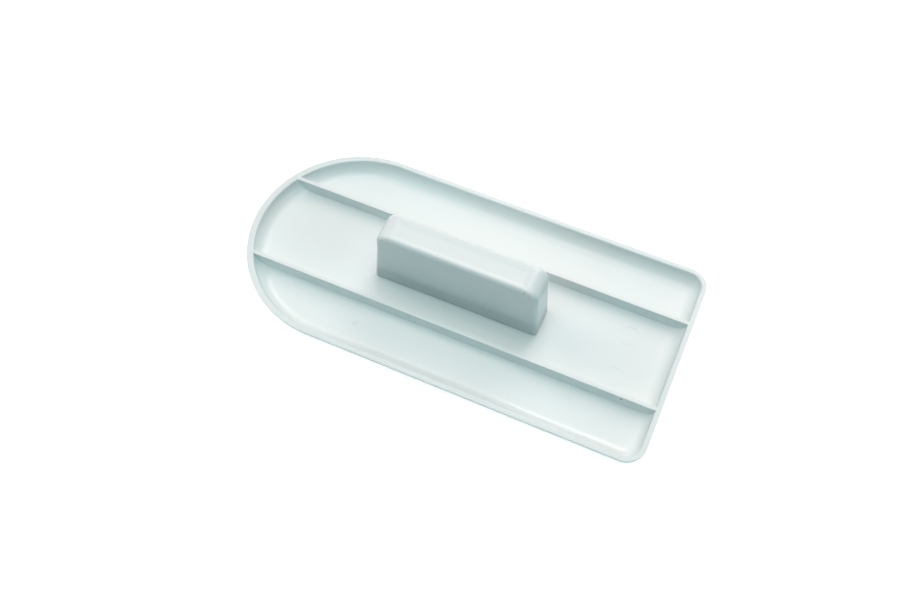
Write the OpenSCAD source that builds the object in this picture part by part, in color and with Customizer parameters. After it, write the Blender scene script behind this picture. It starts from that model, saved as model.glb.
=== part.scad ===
// Icing smoother: a plate with rolled-up edges and a block handle to hold it by.
// Millimetres. +X runs along the plate to its square end, +Z is up, and the origin is
// the centre of the flat face that glides over the icing.

/* [Plate] */
// Length of the plate, from the tip of the round end to the square end
plate_len = 163.2; // [130:0.2:190]
// Width of the plate, which is also the diameter of its round end
plate_w = 80; // [70:1:96]
// Radius of the square end's two corners, seen from above
corner_r = 7.4; // [7.3:0.1:16]
// Thickness of the floor, of the rolled edge and of the land on top of it
wall = 2; // [1.4:0.1:2.1]
// Thickness of the land at the tip of the round end
end_land = 2.6; // [2.1:0.1:3.4]
// Depth of the tray, from the land down to the floor
tray_depth = 5.2; // [4.6:0.1:5.2]

/* [Ribs] */
// Distance from the middle of one rib to the middle of the other
rib_spacing = 35.8; // [28:0.2:44]
// Thickness of a rib
rib_t = 1.3; // [0.9:0.1:2.4]

/* [Handle] */
// Length of the handle at its foot
handle_len = 63.2; // [50:0.2:80]
// Width of the handle at its foot
handle_w = 12.4; // [11.6:0.2:15]
// Height of the handle above the floor of the plate
handle_h = 26.8; // [22:0.2:34]
// How far the handle's middle lies from the plate's middle, towards the square end
handle_shift = 0.4; // [-4:0.2:4]
// Draft of the handle's front and rear, in degrees
draft = 0.9; // [0.5:0.1:2.4]
// Draft of the handle's two ends, in degrees
end_draft = 3; // [1:0.1:3.4]
// Radius of the roll at the two ends of the handle's top
end_r = 5; // [3:0.1:6]
// Radius of the handle's long top edges
edge_r = 1.5; // [1.2:0.1:2.6]
// Radius of the handle's upright corners at its foot
upright_r = 1.5; // [1.2:0.1:3]
// Wall of the hollow handle
handle_wall = 1.8; // [1.4:0.1:2]

/* [Pegs] */
// Distance between the two pegs that hold the handle
peg_spacing = 36; // [24:1:44]
// Diameter of a peg
peg_d = 4.8; // [3.6:0.1:5.2]
// Height of a peg above the floor of the plate
peg_h = 12; // [6:0.5:16]
// Gap all round a peg in its socket, which the glue fills
peg_gap = 0.1; // [0.05:0.05:0.2]
// Gap between a peg's tip and the blind end of its socket
peg_tip_gap = 0.6; // [0.3:0.1:1.5]
// Wall of a socket, before and behind the peg
socket_wall = 1.8; // [1.2:0.1:2.6]

/* [Hidden] */
curve_fn = 96;
hull_fn = 32;
// Cutters run past the faces that they cut by this much
past = 1;
// Height of the thin discs that give the handle's block its foot
foot_disc_h = 0.02;
// Least radius of the edges inside the handle
least_rim = 0.2;
half_len = plate_len / 2;
half_w = plate_w / 2;
rim_z = wall + tray_depth;
// The roll turns through a quarter circle, so its outer radius is the height of the rim
roll_r = rim_z;
// Middle of the round end's circle, and of the circle that the tray has there
round_x = half_w - half_len;
tray_x = round_x + end_land - wall;
// Narrowing of the handle on each side and at each end, per millimetre of height
slope = tan(draft);
end_slope = tan(end_draft);
plastic = [0.9, 0.93, 0.925];

// Half of a tray's cross-section: flat below, a quarter roll at its outer edge, straight above
module half_section(reach, roll, top) {
    difference() {
        square([reach, top]);
        difference() {
            translate([reach - roll, -past]) square([roll + past, roll + past]);
            translate([reach - roll, roll]) circle(r = roll, $fn = curve_fn);
        }
    }
}

// Solid tray shape, inset from the plate's outline by a distance, from its flat bottom up.
// The middle of its round end lies at end_x
module tray_shape(inset, roll, top, end_x) {
    reach = half_w - inset;
    corner_x = half_len - corner_r;
    corner_y = half_w - corner_r;
    // Round end
    translate([end_x, 0, 0]) rotate([0, 0, 90])
        rotate_extrude(angle = 180, $fn = curve_fn) half_section(reach, roll, top);
    // Straight sides
    translate([end_x, 0, 0]) rotate([90, 0, 90])
        linear_extrude(corner_x - end_x) {
            half_section(reach, roll, top);
            mirror([1, 0]) half_section(reach, roll, top);
        }
    // Square end
    translate([corner_x, corner_y, 0]) rotate([90, 0, 0])
        linear_extrude(2 * corner_y) half_section(corner_r - inset, roll, top);
    // Its two corners
    for (side = [0, 1])
        mirror([0, side, 0]) translate([corner_x, corner_y, 0])
            rotate_extrude(angle = 90, $fn = curve_fn) half_section(corner_r - inset, roll, top);
}

module rib(y) {
    intersection() {
        translate([-half_len, y - rib_t / 2, wall / 2]) cube([plate_len, rib_t, rim_z - wall / 2]);
        tray_shape(wall / 2, roll_r - wall / 2, rim_z, round_x);
    }
}

module at_pegs() {
    for (side = [-1, 1])
        translate([handle_shift + side * peg_spacing / 2, 0, wall]) children();
}

module smoothing_plate() {
    color(plastic) union() {
        difference() {
            tray_shape(0, roll_r, rim_z, round_x);
            translate([0, 0, wall]) tray_shape(wall, tray_depth, tray_depth + past, tray_x);
        }
        for (side = [-1, 1]) rib(side * rib_spacing / 2);
        at_pegs() translate([0, 0, -wall / 2]) cylinder(d = peg_d, h = peg_h + wall / 2, $fn = curve_fn);
    }
}

// Disc with a rounded rim, standing on edge: one rolled end of the handle's top
module end_disc(thickness, roll, rim) {
    rotate([90, 0, 0]) rotate_extrude($fn = hull_fn) {
        translate([0, -thickness / 2]) square([roll - rim, thickness]);
        for (side = [-1, 1])
            intersection() {
                translate([roll - rim, side * (thickness / 2 - rim)]) circle(r = rim, $fn = hull_fn);
                translate([0, -thickness / 2]) square([roll, thickness]);
            }
    }
}

// Drafted block with rolled ends and rounded edges. Sizes are those at its foot, at z = 0,
// and the block runs on below its foot by the length given as under
module drafted_block(length, width, height, roll, rim, upright, under) {
    disc_z = height - roll;
    disc_x = length / 2 - end_slope * disc_z - roll;
    foot_x = length / 2 + end_slope * under - upright;
    foot_y = width / 2 + slope * under - upright;
    hull() {
        for (side = [-1, 1])
            translate([side * disc_x, 0, disc_z])
                end_disc(width - 2 * slope * (height - rim), roll, rim);
        for (x = [-foot_x, foot_x], y = [-foot_y, foot_y])
            translate([x, y, -under]) cylinder(r = upright, h = foot_disc_h, $fn = hull_fn);
    }
}

module handle() {
    socket_len = peg_d + 2 * peg_gap + 2 * socket_wall;
    color(plastic) difference() {
        translate([handle_shift, 0, wall])
            drafted_block(handle_len, handle_w, handle_h, end_r, edge_r, upright_r, 0);
        difference() {
            translate([handle_shift, 0, wall])
                drafted_block(handle_len - 2 * handle_wall, handle_w - 2 * handle_wall,
                              handle_h - handle_wall, end_r - handle_wall,
                              max(edge_r - handle_wall, least_rim),
                              max(upright_r - handle_wall, least_rim), past);
            at_pegs() translate([-socket_len / 2, -handle_w, -2 * past])
                cube([socket_len, 2 * handle_w, handle_h + 2 * past]);
        }
        at_pegs() translate([0, 0, -past])
            cylinder(r = peg_d / 2 + peg_gap, h = peg_h + peg_tip_gap + past, $fn = curve_fn);
    }
}

smoothing_plate();
handle();
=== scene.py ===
"""White plastic icing smoother, set on a white table.

Two mouldings make the smoother: a D-shaped plate with a rolled-up edge and two ribs, and a
hollow block handle that is pushed on to two pegs in the middle of the plate. The classes hold
their sizes in millimetres, and each finished shape is scaled once to the frame's metres. +X runs
along the plate to its square end, +Z is up, and the origin is the middle of the flat face under
the plate.
"""

import logging
import math
from dataclasses import dataclass, replace
from enum import Enum
from typing import ClassVar, Iterable

import bmesh
import bpy
from bmesh.types import BMEdge, BMesh, BMVert
from mathutils import Matrix, Vector


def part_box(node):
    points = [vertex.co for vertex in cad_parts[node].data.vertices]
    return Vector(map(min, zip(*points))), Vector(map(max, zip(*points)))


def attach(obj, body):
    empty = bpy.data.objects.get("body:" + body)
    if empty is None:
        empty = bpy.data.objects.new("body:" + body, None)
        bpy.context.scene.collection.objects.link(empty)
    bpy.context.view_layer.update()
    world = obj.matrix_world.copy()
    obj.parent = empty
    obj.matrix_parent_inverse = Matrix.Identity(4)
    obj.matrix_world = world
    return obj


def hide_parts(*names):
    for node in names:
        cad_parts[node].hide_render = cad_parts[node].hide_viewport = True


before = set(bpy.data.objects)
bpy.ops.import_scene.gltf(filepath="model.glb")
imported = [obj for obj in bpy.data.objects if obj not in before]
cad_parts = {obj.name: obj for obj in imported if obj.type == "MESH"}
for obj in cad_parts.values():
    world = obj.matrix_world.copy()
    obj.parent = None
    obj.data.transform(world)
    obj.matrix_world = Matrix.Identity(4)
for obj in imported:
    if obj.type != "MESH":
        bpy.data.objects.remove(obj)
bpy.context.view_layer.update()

log = logging.getLogger("icing_smoother")

MM = 0.001
ALONG = Vector((1, 0, 0))
ACROSS = Vector((0, 1, 0))
UP = Vector((0, 0, 1))
# Vertices closer than this are one, in millimetres
MERGE = 0.0005
# Overlap of shapes that are joined or cut, in millimetres
OVERLAP = 1.0
QUARTER_TURN = math.pi / 2
# Sides of a peg, a socket and a ring
PIN_SIDES = 64
# The plate's edges that turn by more than this are the land's
LAND_TURN = math.radians(45)
# Edges that turn by more than this stay sharp in the shading
CREASE = math.radians(38)
# Weight at which large faces set the shading of the small ones beside them
LARGE_FACES = 100

Socket = bpy.types.NodeSocket
Section = list[BMVert | BMEdge]
Colour = tuple[float, float, float]
Point = tuple[float, float, float]


class Operation(Enum):
    """What a second closed shape does to the first."""

    JOIN = "UNION"
    CUT = "DIFFERENCE"


def scene_object(name: str, shape: BMesh) -> bpy.types.Object:
    """Puts a shape in the scene as an object.

    Args:
        name: name of the object and its mesh.
        shape: the shape, which is freed.

    Returns:
        The new object.
    """
    mesh = bpy.data.meshes.new(name)
    shape.to_mesh(mesh)
    shape.free()
    holder = bpy.data.objects.new(name, mesh)
    bpy.context.scene.collection.objects.link(holder)
    return holder


def combine(body: BMesh, tool: BMesh, operation: Operation) -> BMesh:
    """Joins a closed shape to another, or cuts it from the other.

    Args:
        body: the shape that is kept, which is freed.
        tool: the shape that is joined or cut, which is freed.
        operation: whether the tool is joined or cut.

    Returns:
        The new shape.
    """
    kept = scene_object("kept", body)
    used = scene_object("used", tool)
    modifier = kept.modifiers.new("combine", "BOOLEAN")
    modifier.object = used
    modifier.operation = operation.value
    modifier.solver = "EXACT"
    result = bmesh.new()
    result.from_object(kept, bpy.context.evaluated_depsgraph_get())
    for holder in (kept, used):
        mesh = holder.data
        bpy.data.objects.remove(holder)
        bpy.data.meshes.remove(mesh)
    bmesh.ops.remove_doubles(result, verts=result.verts, dist=MERGE)
    return result


def slab(low: Vector, high: Vector) -> BMesh:
    """Makes a box between two corners.

    Args:
        low: lowest corner.
        high: highest corner.

    Returns:
        The box.
    """
    size = high - low
    place = Matrix.Translation((low + high) / 2) @ Matrix.Diagonal(size.to_4d())
    box = bmesh.new()
    bmesh.ops.create_cube(box, size=1, matrix=place)
    return box


def pin(radius: float, centre: Vector, bottom: float, top: float) -> BMesh:
    """Makes an upright cylinder.

    Args:
        radius: its radius.
        centre: a point on its axis.
        bottom: height of its lower end.
        top: height of its upper end.

    Returns:
        The cylinder.
    """
    place = Matrix.Translation(Vector((centre.x, centre.y, (bottom + top) / 2)))
    cylinder = bmesh.new()
    bmesh.ops.create_cone(
        cylinder, cap_ends=True, segments=PIN_SIDES, radius1=radius, radius2=radius,
        depth=top - bottom, matrix=place,
    )
    return cylinder


def round_edges(shape: BMesh, edges: Iterable[BMEdge], offset: float, segments: int) -> None:
    """Rounds edges of a shape in place.

    Args:
        shape: the shape.
        edges: the edges to round.
        offset: how far the rounding reaches into the faces beside an edge.
        segments: number of faces across the rounding.
    """
    bmesh.ops.bevel(
        shape, geom=list(edges), offset=offset, offset_type="OFFSET", segments=segments,
        profile=0.5, affect="EDGES", material=-1, clamp_overlap=False, loop_slide=False,
    )


def finished_piece(name: str, shape: BMesh) -> bpy.types.Object:
    """Makes the scene's piece from a shape in millimetres.

    Args:
        name: name of the piece.
        shape: the closed shape, which is freed.

    Returns:
        The piece, at the origin, with its place in its mesh.
    """
    bmesh.ops.recalc_face_normals(shape, faces=shape.faces)
    for face in shape.faces:
        face.smooth = True
    for edge in shape.edges:
        edge.smooth = edge.calc_face_angle(math.pi) < CREASE
    bmesh.ops.scale(shape, vec=(MM, MM, MM), verts=shape.verts)
    piece = scene_object(name, shape)
    shading = piece.modifiers.new("even shading", "WEIGHTED_NORMAL")
    shading.keep_sharp = True
    shading.weight = LARGE_FACES
    return piece


class Blend(Enum):
    """How a second colour acts on the first."""

    MIX = "MIX"
    MULTIPLY = "MULTIPLY"


class NodeGraph:
    """A material's or world's node tree, with short calls to add and join nodes."""

    def __init__(self, owner: bpy.types.ID) -> None:
        """Empties the owner's node tree.

        Args:
            owner: the material or world.
        """
        owner.use_nodes = True
        self.tree = owner.node_tree
        self.tree.nodes.clear()

    def add(self, kind: str, **inputs: object) -> bpy.types.Node:
        """Adds a node and sets its sockets.

        Args:
            kind: the node's type.
            inputs: values of its settings and input sockets, with _ for a space in a socket's name.

        Returns:
            The node.
        """
        node = self.tree.nodes.new(kind)
        for name, value in inputs.items():
            if hasattr(node, name):
                setattr(node, name, value)
            else:
                node.inputs[name.replace("_", " ")].default_value = value
        return node

    def join(self, source: Socket, target: Socket) -> None:
        """Links one node's output to another's input."""
        self.tree.links.new(source, target)

    def blend(
        self, mode: Blend, share: Socket, first: Socket | Colour, second: Socket | Colour
    ) -> Socket:
        """Adds a node that blends two colours.

        Args:
            mode: how the second colour acts on the first.
            share: the socket with the second colour's share.
            first: the first colour, or the socket that gives it.
            second: the second colour, or the socket that gives it.

        Returns:
            The socket with the blended colour.
        """
        node = self.add("ShaderNodeMix", data_type="RGBA", blend_type=mode.value)
        colours = [socket for socket in node.inputs if socket.type == "RGBA"]
        self.join(share, node.inputs[0])
        for socket, colour in zip(colours, (first, second)):
            if isinstance(colour, Socket):
                self.join(colour, socket)
            else:
                socket.default_value = (*colour, 1)
        return [socket for socket in node.outputs if socket.type == "RGBA"][0]

    def ramp(self, value: Socket, near: float, far: float) -> Socket:
        """Adds a node that falls smoothly from 1 at one value to 0 at another.

        Args:
            value: the socket with the value.
            near: the value that gives 1.
            far: the value that gives 0.

        Returns:
            The socket with the result.
        """
        node = self.add(
            "ShaderNodeMapRange", interpolation_type="SMOOTHSTEP",
            From_Min=near, From_Max=far, To_Min=1.0, To_Max=0.0,
        )
        self.join(value, node.inputs["Value"])
        return node.outputs["Result"]


@dataclass(frozen=True)
class SpeckAndPaintedShade:
    """A small dark spot in the plastic, or, when it is stretched, a thin line of painted shade
    along a crease.

    Soft is the share of its radius over which it fades, and depth the share of the colour that is
    left in it.
    """

    place: Point
    radius: float
    soft: float
    depth: float
    stretch: Point = (1.0, 1.0, 1.0)


@dataclass(frozen=True)
class MouldedPlastic:
    """Semi-gloss white injection-moulded plastic.

    A painted foot shade below 1 paints shade on it: the colour is darkened between the two foot
    heights, which are in millimetres. The sizes and depths of its patterns are in metres.
    """

    name: str
    colour: Colour = (0.79, 0.86, 0.855)
    shade: Colour = (0.78, 0.85, 0.845)
    painted_foot_shade: float = 1.0
    foot_heights: tuple[float, float] = (2.0, 12.0)
    roughness: float = 0.24
    ior: float = 1.49
    grain_size: float = 0.0006
    grain_depth: float = 0.000003
    wave_size: float = 0.016
    wave_depth: float = 0.000012
    ripple_detail: float = 2.0
    cloud_size: float = 0.032
    cloud_detail: float = 3.0
    cloud_roughness: float = 0.55
    specks_and_painted_shade: tuple[SpeckAndPaintedShade, ...] = ()

    def make(self) -> bpy.types.Material:
        """Makes the material, with all patterns on Object coordinates.

        Returns:
            The material.
        """
        material = bpy.data.materials.new(self.name)
        graph = NodeGraph(material)
        place = graph.add("ShaderNodeTexCoord").outputs["Object"]
        surface = graph.add("ShaderNodeBsdfPrincipled", Roughness=self.roughness, IOR=self.ior)
        output = graph.add("ShaderNodeOutputMaterial")
        cloud = graph.add(
            "ShaderNodeTexNoise", Scale=1 / self.cloud_size, Detail=self.cloud_detail,
            Roughness=self.cloud_roughness,
        )
        graph.join(place, cloud.inputs["Vector"])
        tone = graph.blend(Blend.MIX, cloud.outputs["Fac"], self.shade, self.colour)
        # Painted shade: the colour is darkened towards the foot
        if self.painted_foot_shade < 1:
            share = self.near_foot_for_painted_shade(graph, place)
            tone = graph.blend(Blend.MULTIPLY, share, tone, (self.painted_foot_shade,) * 3)
        # Specks darken the colour in spots; the stretched one on the handle is painted shade along
        # a crease
        for dark_mark in self.specks_and_painted_shade:
            share = self.near_speck_and_painted_shade(graph, place, dark_mark)
            tone = graph.blend(Blend.MULTIPLY, share, tone, (dark_mark.depth,) * 3)
        graph.join(tone, surface.inputs["Base Color"])
        graph.join(self.ripples(graph, place), surface.inputs["Normal"])
        graph.join(surface.outputs["BSDF"], output.inputs["Surface"])
        return material

    def near_foot_for_painted_shade(self, graph: NodeGraph, place: Socket) -> Socket:
        """Adds the nodes that tell how near the foot a point is, for the painted shade there.

        Args:
            graph: the node tree.
            place: the Object coordinates.

        Returns:
            A socket that runs from 1 at the foot to 0 higher up.
        """
        split = graph.add("ShaderNodeSeparateXYZ")
        graph.join(place, split.inputs[0])
        low, high = self.foot_heights
        return graph.ramp(split.outputs["Z"], low * MM, high * MM)

    def near_speck_and_painted_shade(self, graph: NodeGraph, place: Socket, dark_mark: SpeckAndPaintedShade) -> Socket:
        """Adds the nodes that tell whether a point is in a speck or in a line of painted shade.

        Args:
            graph: the node tree.
            place: the Object coordinates.
            dark_mark: the speck, or the line of painted shade.

        Returns:
            A socket that is 1 in the speck or line and 0 away from it.
        """
        squeeze = [1 / factor for factor in dark_mark.stretch]
        squeezed = graph.add("ShaderNodeVectorMath", operation="MULTIPLY")
        distance = graph.add("ShaderNodeVectorMath", operation="DISTANCE")
        graph.join(place, squeezed.inputs[0])
        graph.join(squeezed.outputs[0], distance.inputs[0])
        squeezed.inputs[1].default_value = squeeze
        distance.inputs[1].default_value = Vector(dark_mark.place) * Vector(squeeze) * MM
        inside, outside = dark_mark.radius * (1 - dark_mark.soft), dark_mark.radius * (1 + dark_mark.soft)
        return graph.ramp(distance.outputs["Value"], inside * MM, outside * MM)

    def ripples(self, graph: NodeGraph, place: Socket) -> Socket:
        """Adds the nodes of the surface's faint waves and fine grain.

        Args:
            graph: the node tree.
            place: the Object coordinates.

        Returns:
            A socket with the changed normal.
        """
        normal = None
        for size, depth in ((self.wave_size, self.wave_depth), (self.grain_size, self.grain_depth)):
            pattern = graph.add("ShaderNodeTexNoise", Scale=1 / size, Detail=self.ripple_detail)
            layer = graph.add("ShaderNodeBump", Strength=1.0, Distance=depth)
            graph.join(place, pattern.inputs["Vector"])
            graph.join(pattern.outputs["Fac"], layer.inputs["Height"])
            if normal is not None:
                graph.join(normal, layer.inputs["Normal"])
            normal = layer.outputs["Normal"]
        return normal


@dataclass
class Moulding:
    """One moulding of the smoother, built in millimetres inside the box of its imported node."""

    node: ClassVar[str]
    name: ClassVar[str]
    slot: ClassVar[str]
    finish: ClassVar[MouldedPlastic]
    low: Vector
    high: Vector

    @classmethod
    def in_frame(cls) -> "Moulding":
        """Gives the moulding its place in the frame.

        Returns:
            The moulding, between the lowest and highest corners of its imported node.
        """
        low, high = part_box(cls.node)
        return cls(low / MM, high / MM)

    def shape(self) -> BMesh:
        """Makes the closed shape, which is each moulding's own."""
        raise NotImplementedError

    def dress(self, piece: bpy.types.Object) -> None:
        """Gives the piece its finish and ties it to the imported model.

        Args:
            piece: the piece.
        """
        piece.data.materials.clear()
        piece.data.materials.append(self.finish.make())
        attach(piece, "root")
        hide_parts(self.node)

    def build(self) -> bpy.types.Object:
        """Makes the piece and dresses it.

        Returns:
            The piece.
        """
        piece = finished_piece(self.name, self.shape())
        self.dress(piece)
        return piece


@dataclass
class SmoothingPlate(Moulding):
    """The plate: a floor with a rolled-up edge, two ribs along it and two pegs for the handle."""

    node: ClassVar[str] = "smoothing_plate"
    name: ClassVar[str] = "plate_moulding"
    slot: ClassVar[str] = "plate_plastic"
    finish: ClassVar[MouldedPlastic] = MouldedPlastic(
        "plate plastic",
        specks_and_painted_shade=(
            SpeckAndPaintedShade(place=(67.64, -18.55, 5.94), radius=0.36, soft=0.3, depth=0.25),
            SpeckAndPaintedShade(place=(-29.0, -27.2, 2.0), radius=0.9, soft=0.9, depth=0.93),
        ),
    )
    wall: float = 2.0
    rim_height: float = 7.2
    corner_radius: float = 7.4
    end_land: float = 2.6
    square_roll: float = 4.9
    rib_spacing: float = 35.8
    rib_thickness: float = 1.3
    peg_spacing: float = 36.0
    peg_radius: float = 2.4
    handle_shift: float = 0.4
    land_round: float = 0.62
    lip_round: float = 0.12
    rib_round: float = 0.6
    mark_places: tuple[tuple[float, float], ...] = ((62.2, 7.6), (62.0, -9.6))
    mark_radius: float = 3.9
    mark_line: float = 0.45
    mark_height: float = 0.07
    roll_steps: int = 20
    lining_steps: int = 12
    end_steps: int = 96
    corner_steps: int = 20
    land_steps: int = 5
    lip_steps: int = 2
    rib_top_steps: int = 4

    @property
    def half_length(self) -> float:
        """Half of the plate's length."""
        return (self.high.x - self.low.x) / 2

    @property
    def half_width(self) -> float:
        """Half of the plate's width, which is also the radius of its round end."""
        return (self.high.y - self.low.y) / 2

    @property
    def round_x(self) -> float:
        """Where the middle of the round end's circle lies."""
        return self.half_width - self.half_length

    def rim_section(self, rim: BMesh) -> Section:
        """Draws the cross-section of the rolled edge at the front, where the round end begins.

        Args:
            rim: the empty shape that it is drawn in.

        Returns:
            The section's vertices and edges, from the underside round to the floor.
        """
        roll_centre = Vector((self.round_x, self.rim_height - self.half_width, self.rim_height))
        start = rim.verts.new(roll_centre - UP * self.rim_height)
        outer = bmesh.ops.spin(
            rim, geom=[start], cent=roll_centre, axis=ALONG, angle=-QUARTER_TURN,
            steps=self.roll_steps,
        )
        land_edge = [item for item in outer["geom_last"] if isinstance(item, BMVert)]
        land = bmesh.ops.extrude_vert_indiv(rim, verts=land_edge)
        bmesh.ops.translate(rim, verts=land["verts"], vec=ACROSS * self.wall)
        bmesh.ops.spin(
            rim, geom=land["verts"], cent=roll_centre, axis=ALONG, angle=QUARTER_TURN,
            steps=self.lining_steps,
        )
        return [*rim.verts, *rim.edges]

    def turn(
        self, rim: BMesh, section: Section, centre: Vector, angle: float, steps: int
    ) -> Section:
        """Carries the section round an upright axis.

        Args:
            rim: the shape.
            section: the section's vertices and edges.
            centre: a point on the axis.
            angle: the turn, in degrees, clockwise from above.
            steps: number of steps in the turn.

        Returns:
            The section at the end of the turn.
        """
        swept = bmesh.ops.spin(
            rim, geom=section, cent=centre, axis=-UP, angle=math.radians(angle), steps=steps
        )
        return swept["geom_last"]

    def run(self, rim: BMesh, section: Section, way: Vector) -> Section:
        """Carries the section along a straight stretch.

        Args:
            rim: the shape.
            section: the section's vertices and edges.
            way: how far it goes.

        Returns:
            The section at the end of the stretch.
        """
        edges = [item for item in section if isinstance(item, BMEdge)]
        swept = bmesh.ops.extrude_edge_only(rim, edges=edges)["geom"]
        ends = [item for item in swept if isinstance(item, BMVert)]
        bmesh.ops.translate(rim, verts=ends, vec=way)
        return [item for item in swept if isinstance(item, (BMVert, BMEdge))]

    def tray(self) -> BMesh:
        """Makes the floor with its rolled edge.

        Returns:
            The closed tray, with the land's edges rounded.
        """
        corner_x = self.half_length - self.corner_radius
        corner_y = self.half_width - self.corner_radius
        side = ALONG * (corner_x - self.round_x)
        tray = bmesh.new()
        section = self.rim_section(tray)
        section = self.turn(tray, section, Vector((self.round_x, 0, 0)), 180, self.end_steps)
        section = self.run(tray, section, side)
        section = self.turn(tray, section, Vector((corner_x, corner_y, 0)), 90, self.corner_steps)
        section = self.run(tray, section, -ACROSS * 2 * corner_y)
        section = self.turn(tray, section, Vector((corner_x, -corner_y, 0)), 90, self.corner_steps)
        self.run(tray, section, -side)
        bmesh.ops.remove_doubles(tray, verts=tray.verts, dist=MERGE)
        lining = [vert for vert in tray.verts if self.lines_tray(vert)]
        round_end = [vert for vert in lining if vert.co.x < self.round_x + MERGE]
        bmesh.ops.translate(tray, verts=round_end, vec=ALONG * (self.end_land - self.wall))
        self.tighten_square_end(vert for vert in lining if vert.co.x > corner_x + MERGE)
        bmesh.ops.edgeloop_fill(tray, edges=[edge for edge in tray.edges if edge.is_boundary])
        bmesh.ops.recalc_face_normals(tray, faces=tray.faces)
        land_edges = [
            edge for edge in tray.edges
            if all(abs(vert.co.z - self.rim_height) < MERGE for vert in edge.verts)
            and edge.calc_face_angle() > LAND_TURN
        ]
        inner_edges = [edge for edge in land_edges if self.faces_tray(edge)]
        outer_edges = [edge for edge in land_edges if edge not in inner_edges]
        round_edges(tray, inner_edges, self.land_round, self.land_steps)
        outer_edges = [edge for edge in outer_edges if edge.is_valid]
        round_edges(tray, outer_edges, self.lip_round, self.lip_steps)
        return tray

    def spine(self, place: Vector) -> Vector:
        """Gives the point from which the plate's outline lies straight outwards.

        Args:
            place: a point on the roll.

        Returns:
            The middle of the round end or of a corner, or the point on the long axis beside the
            place.
        """
        inset = self.corner_radius
        corner = Vector((self.half_length - inset, self.half_width - inset))
        if place.x > corner.x:
            return Vector((corner.x, min(max(place.y, -corner.y), corner.y), 0))
        return Vector((max(min(place.x, corner.x), self.round_x), 0, 0))

    def lines_tray(self, vert: BMVert) -> bool:
        """Tells whether a vertex is on the inner face of the roll.

        Args:
            vert: the vertex.

        Returns:
            Whether it is.
        """
        from_spine = (vert.co - self.spine(vert.co)).xy.length
        in_square_end = vert.co.x > self.half_length - self.corner_radius
        reach = self.corner_radius if in_square_end else self.half_width
        outward = from_spine - reach + self.rim_height
        from_roll_centre = math.hypot(outward, vert.co.z - self.rim_height)
        return from_roll_centre < self.rim_height - self.wall / 2

    def tighten_square_end(self, lining: Iterable[BMVert]) -> None:
        """Narrows the inner roll towards the square end, and leaves an upright wall over it.

        Args:
            lining: the vertices on the inner face of the roll at that end.
        """
        inner_roll = self.rim_height - self.wall
        for vert in lining:
            outward = (vert.co - self.spine(vert.co)) * Vector((1, 1, 0))
            share = 1 - math.atan2(abs(outward.y), outward.x) / QUARTER_TURN
            narrowing = 1 - (1 - self.square_roll / inner_roll) * share
            reach = self.corner_radius - self.wall
            vert.co += outward.normalized() * (reach - outward.length) * (1 - narrowing)
            if vert.co.z < self.rim_height - MERGE:
                vert.co.z = self.wall + (vert.co.z - self.wall) * narrowing

    def faces_tray(self, edge: BMEdge) -> bool:
        """Tells whether an edge of the land is the one on the tray's side.

        Args:
            edge: the edge.

        Returns:
            Whether it is.
        """
        middle = (edge.verts[0].co + edge.verts[1].co) / 2
        inward = self.spine(middle) - middle
        wall_face = min(edge.link_faces, key=lambda face: abs(face.normal.z))
        return wall_face.normal.xy.dot(inward.xy) > 0

    def rib(self, y: float) -> BMesh:
        """Makes one rib, whose ends follow the middle of the rolled edge.

        Args:
            y: the middle of the rib, across the plate.

        Returns:
            The rib.
        """
        middle = self.wall / 2
        reach = self.half_width - middle
        round_end = self.round_x - math.sqrt(reach**2 - y**2)
        low = Vector((round_end, y - self.rib_thickness / 2, middle))
        high = Vector((self.half_length - middle, y + self.rib_thickness / 2, self.rim_height))
        rib = slab(low, high)
        ends = [edge for edge in rib.edges if all(vert.co.z < self.wall for vert in edge.verts)]
        ends = [edge for edge in ends if abs(edge.verts[0].co.x - edge.verts[1].co.x) < MERGE]
        round_edges(rib, ends, self.rim_height - middle, self.roll_steps)
        tops = [
            edge for edge in rib.edges
            if all(abs(vert.co.z - self.rim_height) < MERGE for vert in edge.verts)
            and abs(edge.verts[0].co.y - edge.verts[1].co.y) < MERGE
        ]
        round_edges(rib, tops, self.rib_round, self.rib_top_steps)
        return rib

    def mark(self, place: Vector) -> BMesh:
        """Makes one of the plain rings that stand faintly on the floor.

        Args:
            place: the ring's middle.

        Returns:
            The ring.
        """
        top = self.wall + self.mark_height
        ring = pin(self.mark_radius, place, self.wall / 2, top)
        hole = pin(self.mark_radius - self.mark_line, place, 0, self.wall + OVERLAP)
        return combine(ring, hole, Operation.CUT)

    def shape(self) -> BMesh:
        """Makes the whole plate.

        Returns:
            The closed shape.
        """
        plate = self.tray()
        for side in (-1, 1):
            plate = combine(plate, self.rib(side * self.rib_spacing / 2), Operation.JOIN)
        for side in (-1, 1):
            centre = Vector((self.handle_shift + side * self.peg_spacing / 2, 0, 0))
            peg = pin(self.peg_radius, centre, self.wall / 2, self.high.z)
            plate = combine(plate, peg, Operation.JOIN)
        for place in self.mark_places:
            plate = combine(plate, self.mark(Vector((*place, 0))), Operation.JOIN)
        return plate


@dataclass(frozen=True)
class Side:
    """One side of the handle's block: a drafted face that rolls over into the flat top."""

    foot: float
    draft: float
    roll: float
    top: float

    def reach(self, height: float) -> float:
        """Gives how far the side lies from the block's middle.

        Args:
            height: height above the block's foot.

        Returns:
            The distance.
        """
        tilt = math.radians(self.draft)
        roll_height = self.top - self.roll
        if height <= roll_height + self.roll * math.sin(tilt):
            return self.foot - height * math.tan(tilt)
        roll_middle = self.foot - roll_height * math.tan(tilt) - self.roll / math.cos(tilt)
        return roll_middle + math.sqrt(max(self.roll**2 - (height - roll_height) ** 2, 0))


@dataclass(frozen=True)
class Level:
    """A level of the handle's block: a rectangle with rounded corners.

    The ledge is how far its ends lie further in, and the shift how far it lies towards the front.
    """

    height: float
    half_length: float
    half_width: float
    corner: float
    ledge: float = 0.0
    shift: float = 0.0


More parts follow.
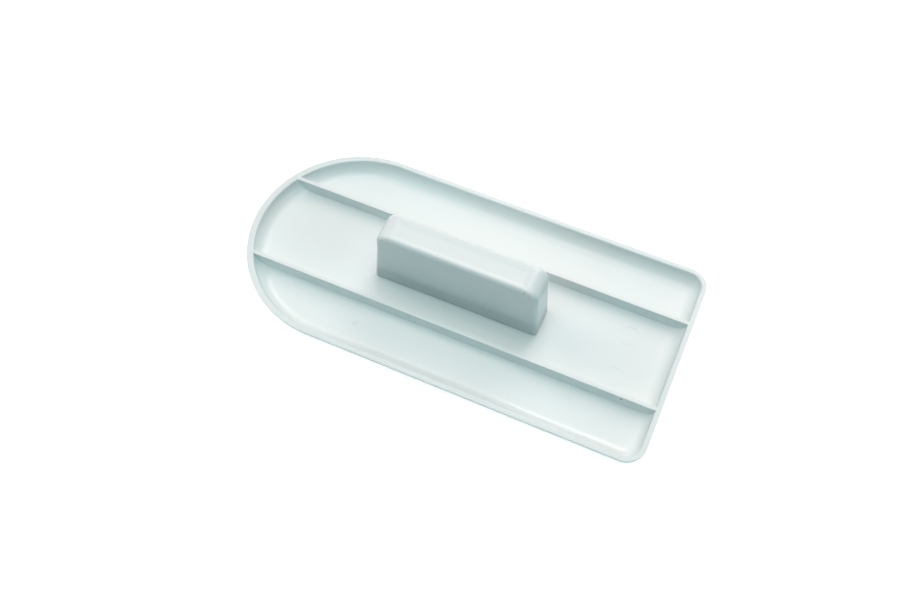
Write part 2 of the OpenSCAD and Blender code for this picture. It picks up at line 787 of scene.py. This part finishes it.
@dataclass
class Handle(Moulding):
    """The handle: a hollow drafted block with rolled ends, and two sockets for the plate's pegs."""

    node: ClassVar[str] = "handle"
    name: ClassVar[str] = "handle_moulding"
    slot: ClassVar[str] = "handle_plastic"
    finish: ClassVar[MouldedPlastic] = MouldedPlastic(
        "handle plastic",
        # Painted shade: the handle's colour darkens towards its foot
        painted_foot_shade=0.66,
        specks_and_painted_shade=(
            SpeckAndPaintedShade(place=(25.7, -5.4, 27.6), radius=0.45, soft=0.5, depth=0.55),
            # Painted shade: a thin dark line along the crease where the end roll meets the end face
            SpeckAndPaintedShade(
                place=(31.8, 0.0, 24.25), radius=0.35, soft=0.5, depth=0.45,
                stretch=(3.0, 17.0, 1.0),
            ),
        ),
    )
    draft: float = 0.9
    end_draft: float = 3.0
    end_radius: float = 5.0
    edge_radius: float = 1.5
    foot_corner: float = 1.5
    top_corner: float = 1.8
    least_radius: float = 0.1
    ledge_drop: float = 4.4
    ledge_width: float = 0.25
    ledge_height: float = 0.05
    dish_width: float = 3.6
    dish_depth: float = 0.06
    dish_edge_width: float = 2.0
    dish_edge_depth: float = 0.18
    dish_shift: float = 0.6
    wall: float = 1.8
    peg_spacing: float = 36.0
    peg_radius: float = 2.4
    peg_gap: float = 0.1
    peg_tip_gap: float = 0.6
    peg_height: float = 12.0
    foot_gap: float = 0.5
    corner_steps: int = 12
    end_steps: int = 7
    edge_steps: int = 12
    dish_steps: int = 18

    @property
    def height(self) -> float:
        """Height of the handle above the plate's floor."""
        return self.high.z - self.low.z

    def sides(self, wall: float) -> tuple[Side, Side]:
        """Gives the block's ends and its long sides.

        Args:
            wall: how far they lie inside the handle's outer faces.

        Returns:
            An end and a long side.
        """
        half = (self.high - self.low) / 2
        top = self.height - wall
        end = Side(half.x - wall, self.end_draft, self.end_radius - wall, top)
        edge_radius = max(self.edge_radius - wall, self.least_radius)
        return end, Side(half.y - wall, self.draft, edge_radius, top)

    def level(self, wall: float, height: float, ledge: float = 0.0) -> Level:
        """Gives the block's level at a height.

        Args:
            wall: how far it lies inside the handle's outer faces.
            height: its height above the foot.
            ledge: how far the two ends lie further in.

        Returns:
            The level.
        """
        end, long_side = self.sides(wall)
        share = max(height, 0) / self.height
        growth = (self.top_corner - self.foot_corner) * share
        corner = max(self.foot_corner + growth - wall, self.least_radius)
        return Level(height, end.reach(height), long_side.reach(height), corner, ledge)

    def rolled_levels(self, wall: float, start: float) -> list[Level]:
        """Gives the levels from a height up to the flat top.

        Args:
            wall: how far they lie inside the handle's outer faces.
            start: the first level's height above the foot.

        Returns:
            The levels, close together where the sides roll over.
        """
        end, long_side = self.sides(wall)
        edge_height = long_side.top - long_side.roll
        rise = edge_height - start
        heights = [start + rise * step / self.end_steps for step in range(self.end_steps)]
        angles = [QUARTER_TURN * step / self.edge_steps for step in range(self.edge_steps + 1)]
        heights += [edge_height + long_side.roll * math.sin(angle) for angle in angles]
        return [self.level(wall, height) for height in heights]

    def dish_levels(self, top: Level) -> list[Level]:
        """Gives the levels of the shallow dish in the flat top, which is steepest near its rim.

        Args:
            top: the flat top's outline.

        Returns:
            The levels, from the dish's rim inwards.
        """
        levels = []
        for step in range(1, self.dish_steps + 1):
            share = step / self.dish_steps
            inset = self.dish_width * share
            edge_share = min(inset / self.dish_edge_width, 1)
            # The dish falls along an S-curve at its edge, and has all its shift halfway down it
            depth = self.dish_depth * (1 - (1 - share) ** 2)
            depth += self.dish_edge_depth * edge_share**2 * (3 - 2 * edge_share)
            shift = self.dish_shift * min(2 * edge_share, 1)
            corner = max(top.corner - inset, self.least_radius)
            half_length, half_width = top.half_length - inset, top.half_width - inset
            levels.append(Level(top.height - depth, half_length, half_width, corner, shift=shift))
        return levels

    def block(self, levels: list[Level]) -> BMesh:
        """Makes a closed block through levels, from its foot up.

        Args:
            levels: the levels.

        Returns:
            The block.
        """
        block = bmesh.new()
        middle = Vector(((self.low.x + self.high.x) / 2, 0, self.low.z))
        half_step = Matrix.Rotation(math.pi / (4 * self.corner_steps), 4, "Z")
        ring_below = []
        for level in levels:
            place = Matrix.Translation(middle + UP * level.height) @ half_step
            corner_x, corner_y = level.half_length - level.corner, level.half_width - level.corner
            ring = bmesh.ops.create_circle(
                block, segments=4 * self.corner_steps, radius=level.corner, matrix=place
            )["verts"]
            for vert in ring:
                across = (vert.co - middle) / level.corner
                vert.co.x += math.copysign(corner_x, across.x) - level.ledge * across.x
                vert.co.y += math.copysign(corner_y, across.y) - level.shift
            edges = list({edge for vert in ring for edge in vert.link_edges})
            if ring_below:
                bmesh.ops.bridge_loops(block, edges=[*ring_below, *edges])
            ring_below = edges
        bmesh.ops.remove_doubles(block, verts=block.verts, dist=MERGE)
        bmesh.ops.edgeloop_fill(block, edges=[edge for edge in block.edges if edge.is_boundary])
        bmesh.ops.recalc_face_normals(block, faces=block.faces)
        return block

    def outer_block(self) -> BMesh:
        """Makes the outer shape, with the foot's seam, the ends' ledge and the dish in the top.

        Returns:
            The closed shape.
        """
        ledge = self.height - self.ledge_drop
        foot = self.level(0, 0)
        gap = self.foot_gap
        lower = [
            replace(foot, half_length=foot.half_length - gap, half_width=foot.half_width - gap),
            replace(foot, height=gap),
            self.level(0, ledge - self.ledge_height, self.ledge_width),
        ]
        upper = self.rolled_levels(0, ledge)
        return self.block([*lower, *upper, *self.dish_levels(upper[-1])])

    def cavity(self, socket_places: list[Vector]) -> BMesh:
        """Makes the shape of the hollow, which two webs divide in three.

        Args:
            socket_places: the middles of the webs.

        Returns:
            The hollow's shape.
        """
        below = self.level(self.wall, -OVERLAP)
        roll_height = self.height - self.end_radius
        hollow = self.block([below, *self.rolled_levels(self.wall, roll_height)])
        web = Vector((self.peg_radius + self.peg_gap + self.wall, self.high.y, 0))
        for place in socket_places:
            low = Vector((place.x - web.x, -web.y, self.low.z - 2 * OVERLAP))
            high = Vector((place.x + web.x, web.y, self.high.z))
            hollow = combine(hollow, slab(low, high), Operation.CUT)
        return hollow

    def shape(self) -> BMesh:
        """Makes the whole handle.

        Returns:
            The closed shape.
        """
        middle = (self.low.x + self.high.x) / 2
        places = [Vector((middle + side * self.peg_spacing / 2, 0, 0)) for side in (-1, 1)]
        block = combine(self.outer_block(), self.cavity(places), Operation.CUT)
        for place in places:
            tip = self.low.z + self.peg_height + self.peg_tip_gap
            socket = pin(self.peg_radius + self.peg_gap, place, self.low.z - OVERLAP, tip)
            block = combine(block, socket, Operation.CUT)
        return block


def direction(azimuth: float, elevation: float) -> Vector:
    """Gives the direction from the object towards a camera or a lamp.

    Args:
        azimuth: degrees round from the front, -Y, towards +X.
        elevation: degrees above the table.

    Returns:
        The direction, of length 1.
    """
    turn = math.radians(azimuth)
    rise = math.radians(elevation)
    level = math.cos(rise)
    return Vector((math.sin(turn) * level, -math.cos(turn) * level, math.sin(rise)))


@dataclass(frozen=True)
class SoftBox:
    """A square studio lamp that looks at the middle of the plate, in degrees and metres."""

    name: str
    azimuth: float
    elevation: float
    radiance: float
    colour: Colour = (1.0, 1.0, 1.0)
    size: float = 0.5
    distance: float = 1.2

    def place(self) -> bpy.types.Object:
        """Sets the lamp up.

        Returns:
            The lamp.
        """
        lamp = bpy.data.lights.new(self.name, "AREA")
        lamp.shape = "SQUARE"
        lamp.size = self.size
        lamp.color = self.colour
        lamp.energy = self.radiance * math.pi * self.size**2
        holder = bpy.data.objects.new(self.name, lamp)
        back = direction(self.azimuth, self.elevation)
        holder.location = back * self.distance
        holder.rotation_euler = back.to_track_quat("Z", "Y").to_euler()
        bpy.context.scene.collection.objects.link(holder)
        return holder


@dataclass(frozen=True)
class Studio:
    """The white table, the white surroundings and the lamps."""

    table_size: float = 6.0
    table_colour: Colour = (0.94, 0.94, 0.94)
    table_glow: float = 0.74
    # Name, azimuth, elevation, radiance and colour
    lamps: tuple[SoftBox, ...] = (
        SoftBox("overhead", 0, 90, 2.4, (1.0, 0.959, 0.945), size=0.7),
        SoftBox("wide overhead", 0, 90, 0.85, (0.979, 1.0, 0.981), size=1.41, distance=1.3),
        SoftBox("rear", 180, 44, 2.6, (1.0, 0.882, 0.879), size=0.8),
        SoftBox("small rear", 175, 39.5, 2.2, (1.0, 0.91, 0.91), size=0.4),
        SoftBox("left", 255, 45, 2.28, (1.0, 0.921, 0.866), size=0.6),
        SoftBox("front fill", 328, 36, 1.35, (0.3, 0.84, 0.98), size=0.6),
        SoftBox("right fill", 80, 22, 1.55, (0.166, 0.892, 1.0), size=0.6),
    )

    def backdrop_share(self, graph: NodeGraph) -> Socket:
        """Adds the nodes that tell rays which see the white background from rays that carry light.

        Args:
            graph: the node tree.

        Returns:
            A socket that is 1 for a ray that sees the background.
        """
        ray = graph.add("ShaderNodeLightPath")
        seen = graph.add("ShaderNodeMath", operation="MAXIMUM")
        both = graph.add("ShaderNodeMath", operation="MAXIMUM")
        graph.join(ray.outputs["Is Camera Ray"], seen.inputs[0])
        graph.join(ray.outputs["Is Glossy Ray"], seen.inputs[1])
        graph.join(seen.outputs[0], both.inputs[0])
        graph.join(ray.outputs["Is Transmission Ray"], both.inputs[1])
        return both.outputs[0]

    def surround(self) -> None:
        """Makes the world: white where a ray sees it, and no light on the object."""
        world = bpy.data.worlds.new("surroundings")
        bpy.context.scene.world = world
        graph = NodeGraph(world)
        white = graph.add("ShaderNodeBackground", Color=(1, 1, 1, 1))
        output = graph.add("ShaderNodeOutputWorld")
        graph.join(self.backdrop_share(graph), white.inputs["Strength"])
        graph.join(white.outputs[0], output.inputs["Surface"])

    def table(self) -> bpy.types.Object:
        """Makes the table, which glows a little to the camera so that it comes out white.

        Returns:
            The table.
        """
        top = bmesh.new()
        bmesh.ops.create_grid(top, x_segments=1, y_segments=1, size=self.table_size / 2)
        table = scene_object("table", top)
        material = bpy.data.materials.new("white table")
        graph = NodeGraph(material)
        paint = graph.add("ShaderNodeBsdfDiffuse", Color=(*self.table_colour, 1))
        glow = graph.add("ShaderNodeEmission", Color=(1, 1, 1, 1), Strength=self.table_glow)
        both = graph.add("ShaderNodeAddShader")
        mixed = graph.add("ShaderNodeMixShader")
        output = graph.add("ShaderNodeOutputMaterial")
        graph.join(paint.outputs[0], both.inputs[0])
        graph.join(glow.outputs[0], both.inputs[1])
        graph.join(self.backdrop_share(graph), mixed.inputs[0])
        graph.join(paint.outputs[0], mixed.inputs[1])
        graph.join(both.outputs[0], mixed.inputs[2])
        graph.join(mixed.outputs[0], output.inputs["Surface"])
        table.data.materials.append(material)
        return table

    def build(self) -> None:
        """Sets up the surroundings, the table and the lamps."""
        self.surround()
        self.table()
        for lamp in self.lamps:
            lamp.place()


@dataclass(frozen=True)
class ProductCamera:
    """The camera, at the picture's viewing angle.

    Its distance, target, lens and sensor are in millimetres. The nearest that it sees is in
    metres.
    """

    azimuth: float = 23.74
    elevation: float = 60.60
    roll: float = 0.17
    distance: float = 380.8
    target: Point = (-1.84, -4.81, 2.0)
    lens: float = 42.18
    sensor: float = 36.0
    nearest: float = 0.01

    def build(self) -> bpy.types.Object:
        """Sets the camera up and makes it the scene's camera.

        Returns:
            The camera.
        """
        camera = bpy.data.cameras.new("camera")
        camera.lens = self.lens
        camera.sensor_width = self.sensor
        camera.clip_start = self.nearest
        holder = bpy.data.objects.new("camera", camera)
        back = direction(self.azimuth, self.elevation)
        turn = math.radians(self.azimuth)
        right = Vector((math.cos(turn), math.sin(turn), 0))
        facing = Matrix((right, back.cross(right), back)).transposed().to_4x4()
        place = (Vector(self.target) + back * self.distance) * MM
        roll = Matrix.Rotation(math.radians(self.roll), 4, "Z")
        holder.matrix_world = Matrix.Translation(place) @ facing @ roll
        bpy.context.scene.collection.objects.link(holder)
        bpy.context.scene.camera = holder
        return holder


def main() -> None:
    """Builds the camera, the studio and the two mouldings."""
    logging.basicConfig(level=logging.INFO, format="%(name)s: %(message)s")
    bpy.context.scene.view_settings.view_transform = "Standard"
    ProductCamera().build()
    Studio().build()
    for moulding in (SmoothingPlate, Handle):
        piece = moulding.in_frame().build()
        faces = len(piece.data.polygons)
        log.info("%s: %d faces, stands for %s", piece.name, faces, moulding.node)


if __name__ == "__main__":
    main()
